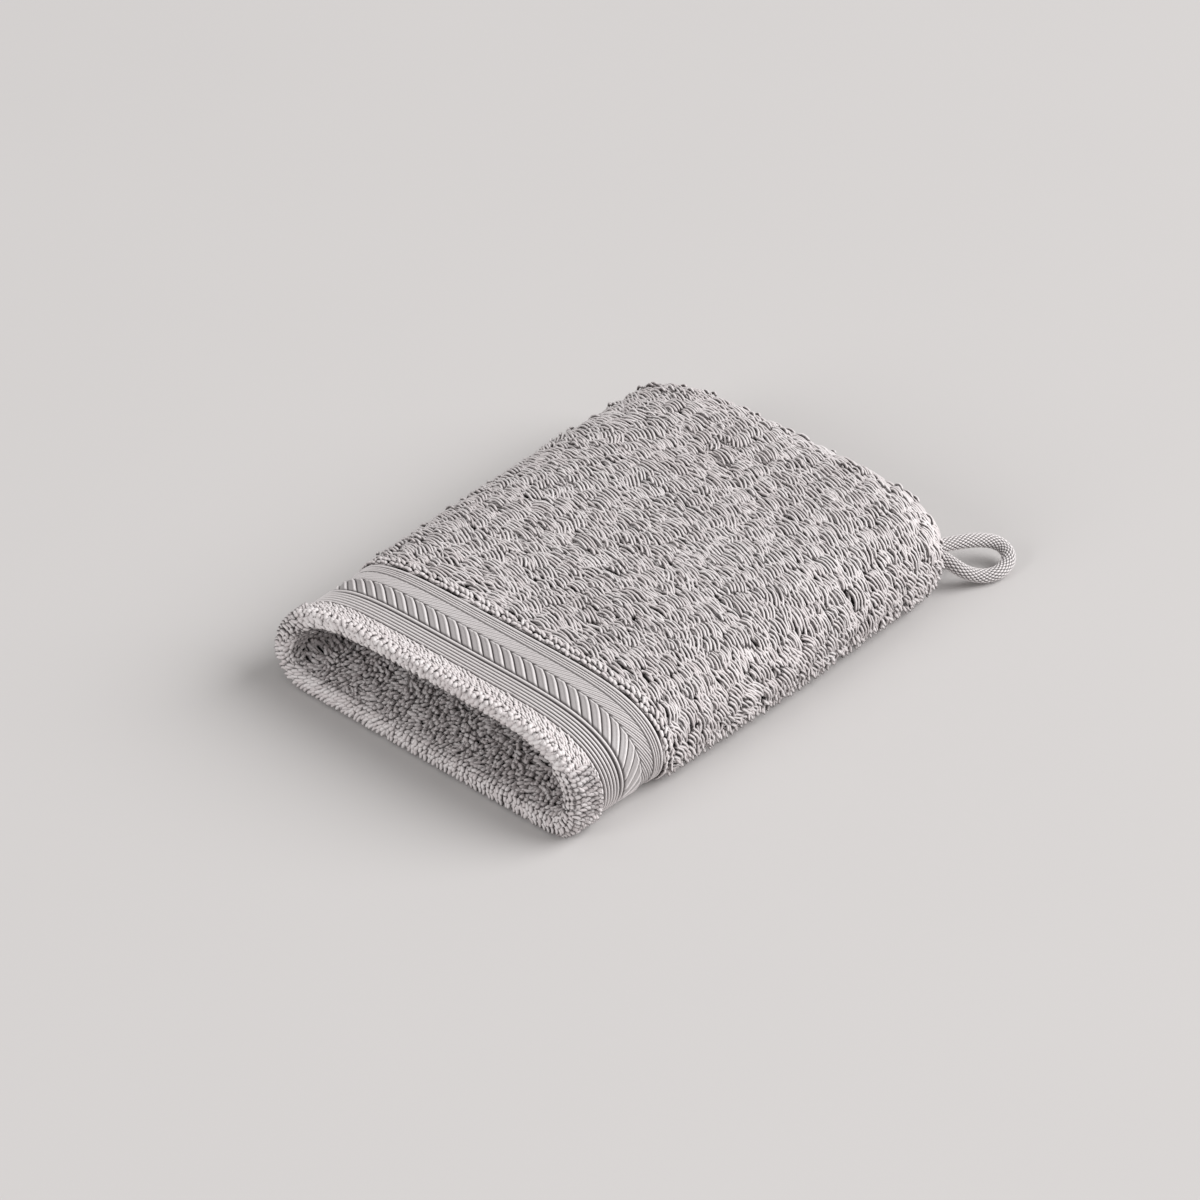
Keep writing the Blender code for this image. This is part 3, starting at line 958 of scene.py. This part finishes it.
def rim_pile(material):
    """Loops of the rolled rim. Those of the upper lip hang over its edge, and those of the
    lower lip and the sides fan outwards."""
    random = np.random.default_rng(13)
    layers = [
        filling(0.0, 16.0 * MM, *ALL_ROUND, random),
        filling(-7.5 * MM, 0.0, *LOWER_LIP, random),
    ]
    for run_at in (15.9, 14.8):
        layers.append(short_loops(HEM_STITCH, run_at, ALL_ROUND, random))
    for run_at in (13.5, 12.1, 10.7, 9.3):
        layers.append(short_loops(SLANTED_STITCH, run_at, UPPER_LIP, random))
    for run_at in (7.6, 6.0, 4.4):
        layers.append(short_loops(RIM_BEAD, run_at, UPPER_LIP, random))
    for run_at, sink in ((4.4, 1.25), (2.0, 1.3), (-0.2, 1.7), (-2.4, 2.4), (-4.8, 2.9)):
        sinks = (sink + 1.0, sink, sink - 0.1)
        layers.append(short_loops(HANGING_LOOP, run_at, UPPER_LIP, random, sinks))
    for run_at in np.arange(-6.4, 14.4, 2.05):
        sinks = (1.6, 0.7, -0.9 if run_at > 0 else 0.1)
        layers.append(short_loops(FANNED_LOOP, run_at, LOWER_LIP, random, sinks))
    return yarn_piece("rim_pile", layers, material, random, SHORT_LOOP_PAINTED_LIGHT)


def inner_pile(material):
    """Short loops inside the pocket, as far as they can be seen."""
    random = np.random.default_rng(14)
    layers = [filling(-36.0 * MM, -7.0 * MM, *ALL_ROUND, random)]
    for low, high, row_gap, gap, form in (
        (-32, -7, 2.2, 1.95, ROUND_LOOP), (-60, -32, 3.2, 3.0, FLAT_STRAND),
    ):
        run, turn = rows_of_places(low * MM, high * MM, row_gap * MM, gap * MM, random)
        number = len(run)
        swirl = 0.8 * drift(run, turn, SWIRL_PATCH, 9)
        heading = 1.7 + swirl + random.normal(0, 0.2, number)
        radii = 0.86 * MM * random.uniform(0.85, 1.15, number)
        crest = 0.7 * MM + random.normal(0, 0.15 * MM, number)
        length = gap * 1.7 * MM * random.uniform(0.75, 1.25, number)
        hook = random.normal(0.3, 0.4, number)
        sinks = (crest + 0.8 * MM, crest, crest - 0.2 * MM)
        paths = yarn_paths(run, turn, heading, length, hook, sinks, form)
        layers.append((*paths, radii, 5 if high > -10 else 4, form))
    return yarn_piece("inner_pile", layers, material, random, SHORT_LOOP_PAINTED_LIGHT)


# ---------------------------------------------------------------- studio

FLOOR_REACH = 4.0
SKY_STRENGTH = 0.43

# Which way from the mitt each lamp stands, how far, how wide it is, and its power in watts
LAMPS = (
    {"name": "key_lamp", "away": (0.73, 0.67, 0.74), "distance": 8.0, "size": 7.4, "power": 845},
    {"name": "front_fill", "away": (-0.2, -1.0, 0.5), "distance": 6.0, "size": 3.0, "power": 120},
)


def studio():
    """Pale paper floor, a broad lamp on the camera's right and a weak one at the mouth."""
    floor_mesh = bpy.data.meshes.new("floor")
    corners = ((-1, -1), (1, -1), (1, 1), (-1, 1))
    floor_mesh.from_pydata(
        [(x * FLOOR_REACH, y * FLOOR_REACH, 0) for x, y in corners], [], [(0, 1, 2, 3)])
    floor_mesh.materials.append(floor_paper())
    floor = bpy.data.objects.new("floor", floor_mesh)
    bpy.context.scene.collection.objects.link(floor)

    world = bpy.data.worlds.new("studio")
    world.use_nodes = True
    background = world.node_tree.nodes["Background"]
    background.inputs["Color"].default_value = (*linear("#fffefd"), 1.0)
    background.inputs["Strength"].default_value = SKY_STRENGTH
    bpy.context.scene.world = world

    for row in LAMPS:
        lamp = bpy.data.objects.new(row["name"], bpy.data.lights.new(row["name"], "AREA"))
        lamp.data.shape = "DISK"
        lamp.data.size = row["size"]
        lamp.data.energy = row["power"]
        away = Vector(row["away"]).normalized()
        lamp.location = away * row["distance"]
        lamp.rotation_euler = away.to_track_quat("Z", "Y").to_euler()
        bpy.context.scene.collection.objects.link(lamp)
    bpy.context.scene.view_settings.view_transform = "Standard"


# ---------------------------------------------------------------- making


def main():
    place_camera()
    hanging_loop(braided_cotton())
    ground = ground_cloth(ground_cotton())
    yarn = terry_yarn()
    pile = [*outer_pile(yarn), underside_pile(yarn), rim_pile(yarn), inner_pile(yarn)]
    band = woven_band(woven_cotton())
    for piece in (ground, *pile):
        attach(piece, "root")
        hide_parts("terry_bag")
    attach(band, "root")
    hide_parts("border_band")
    studio()


main()
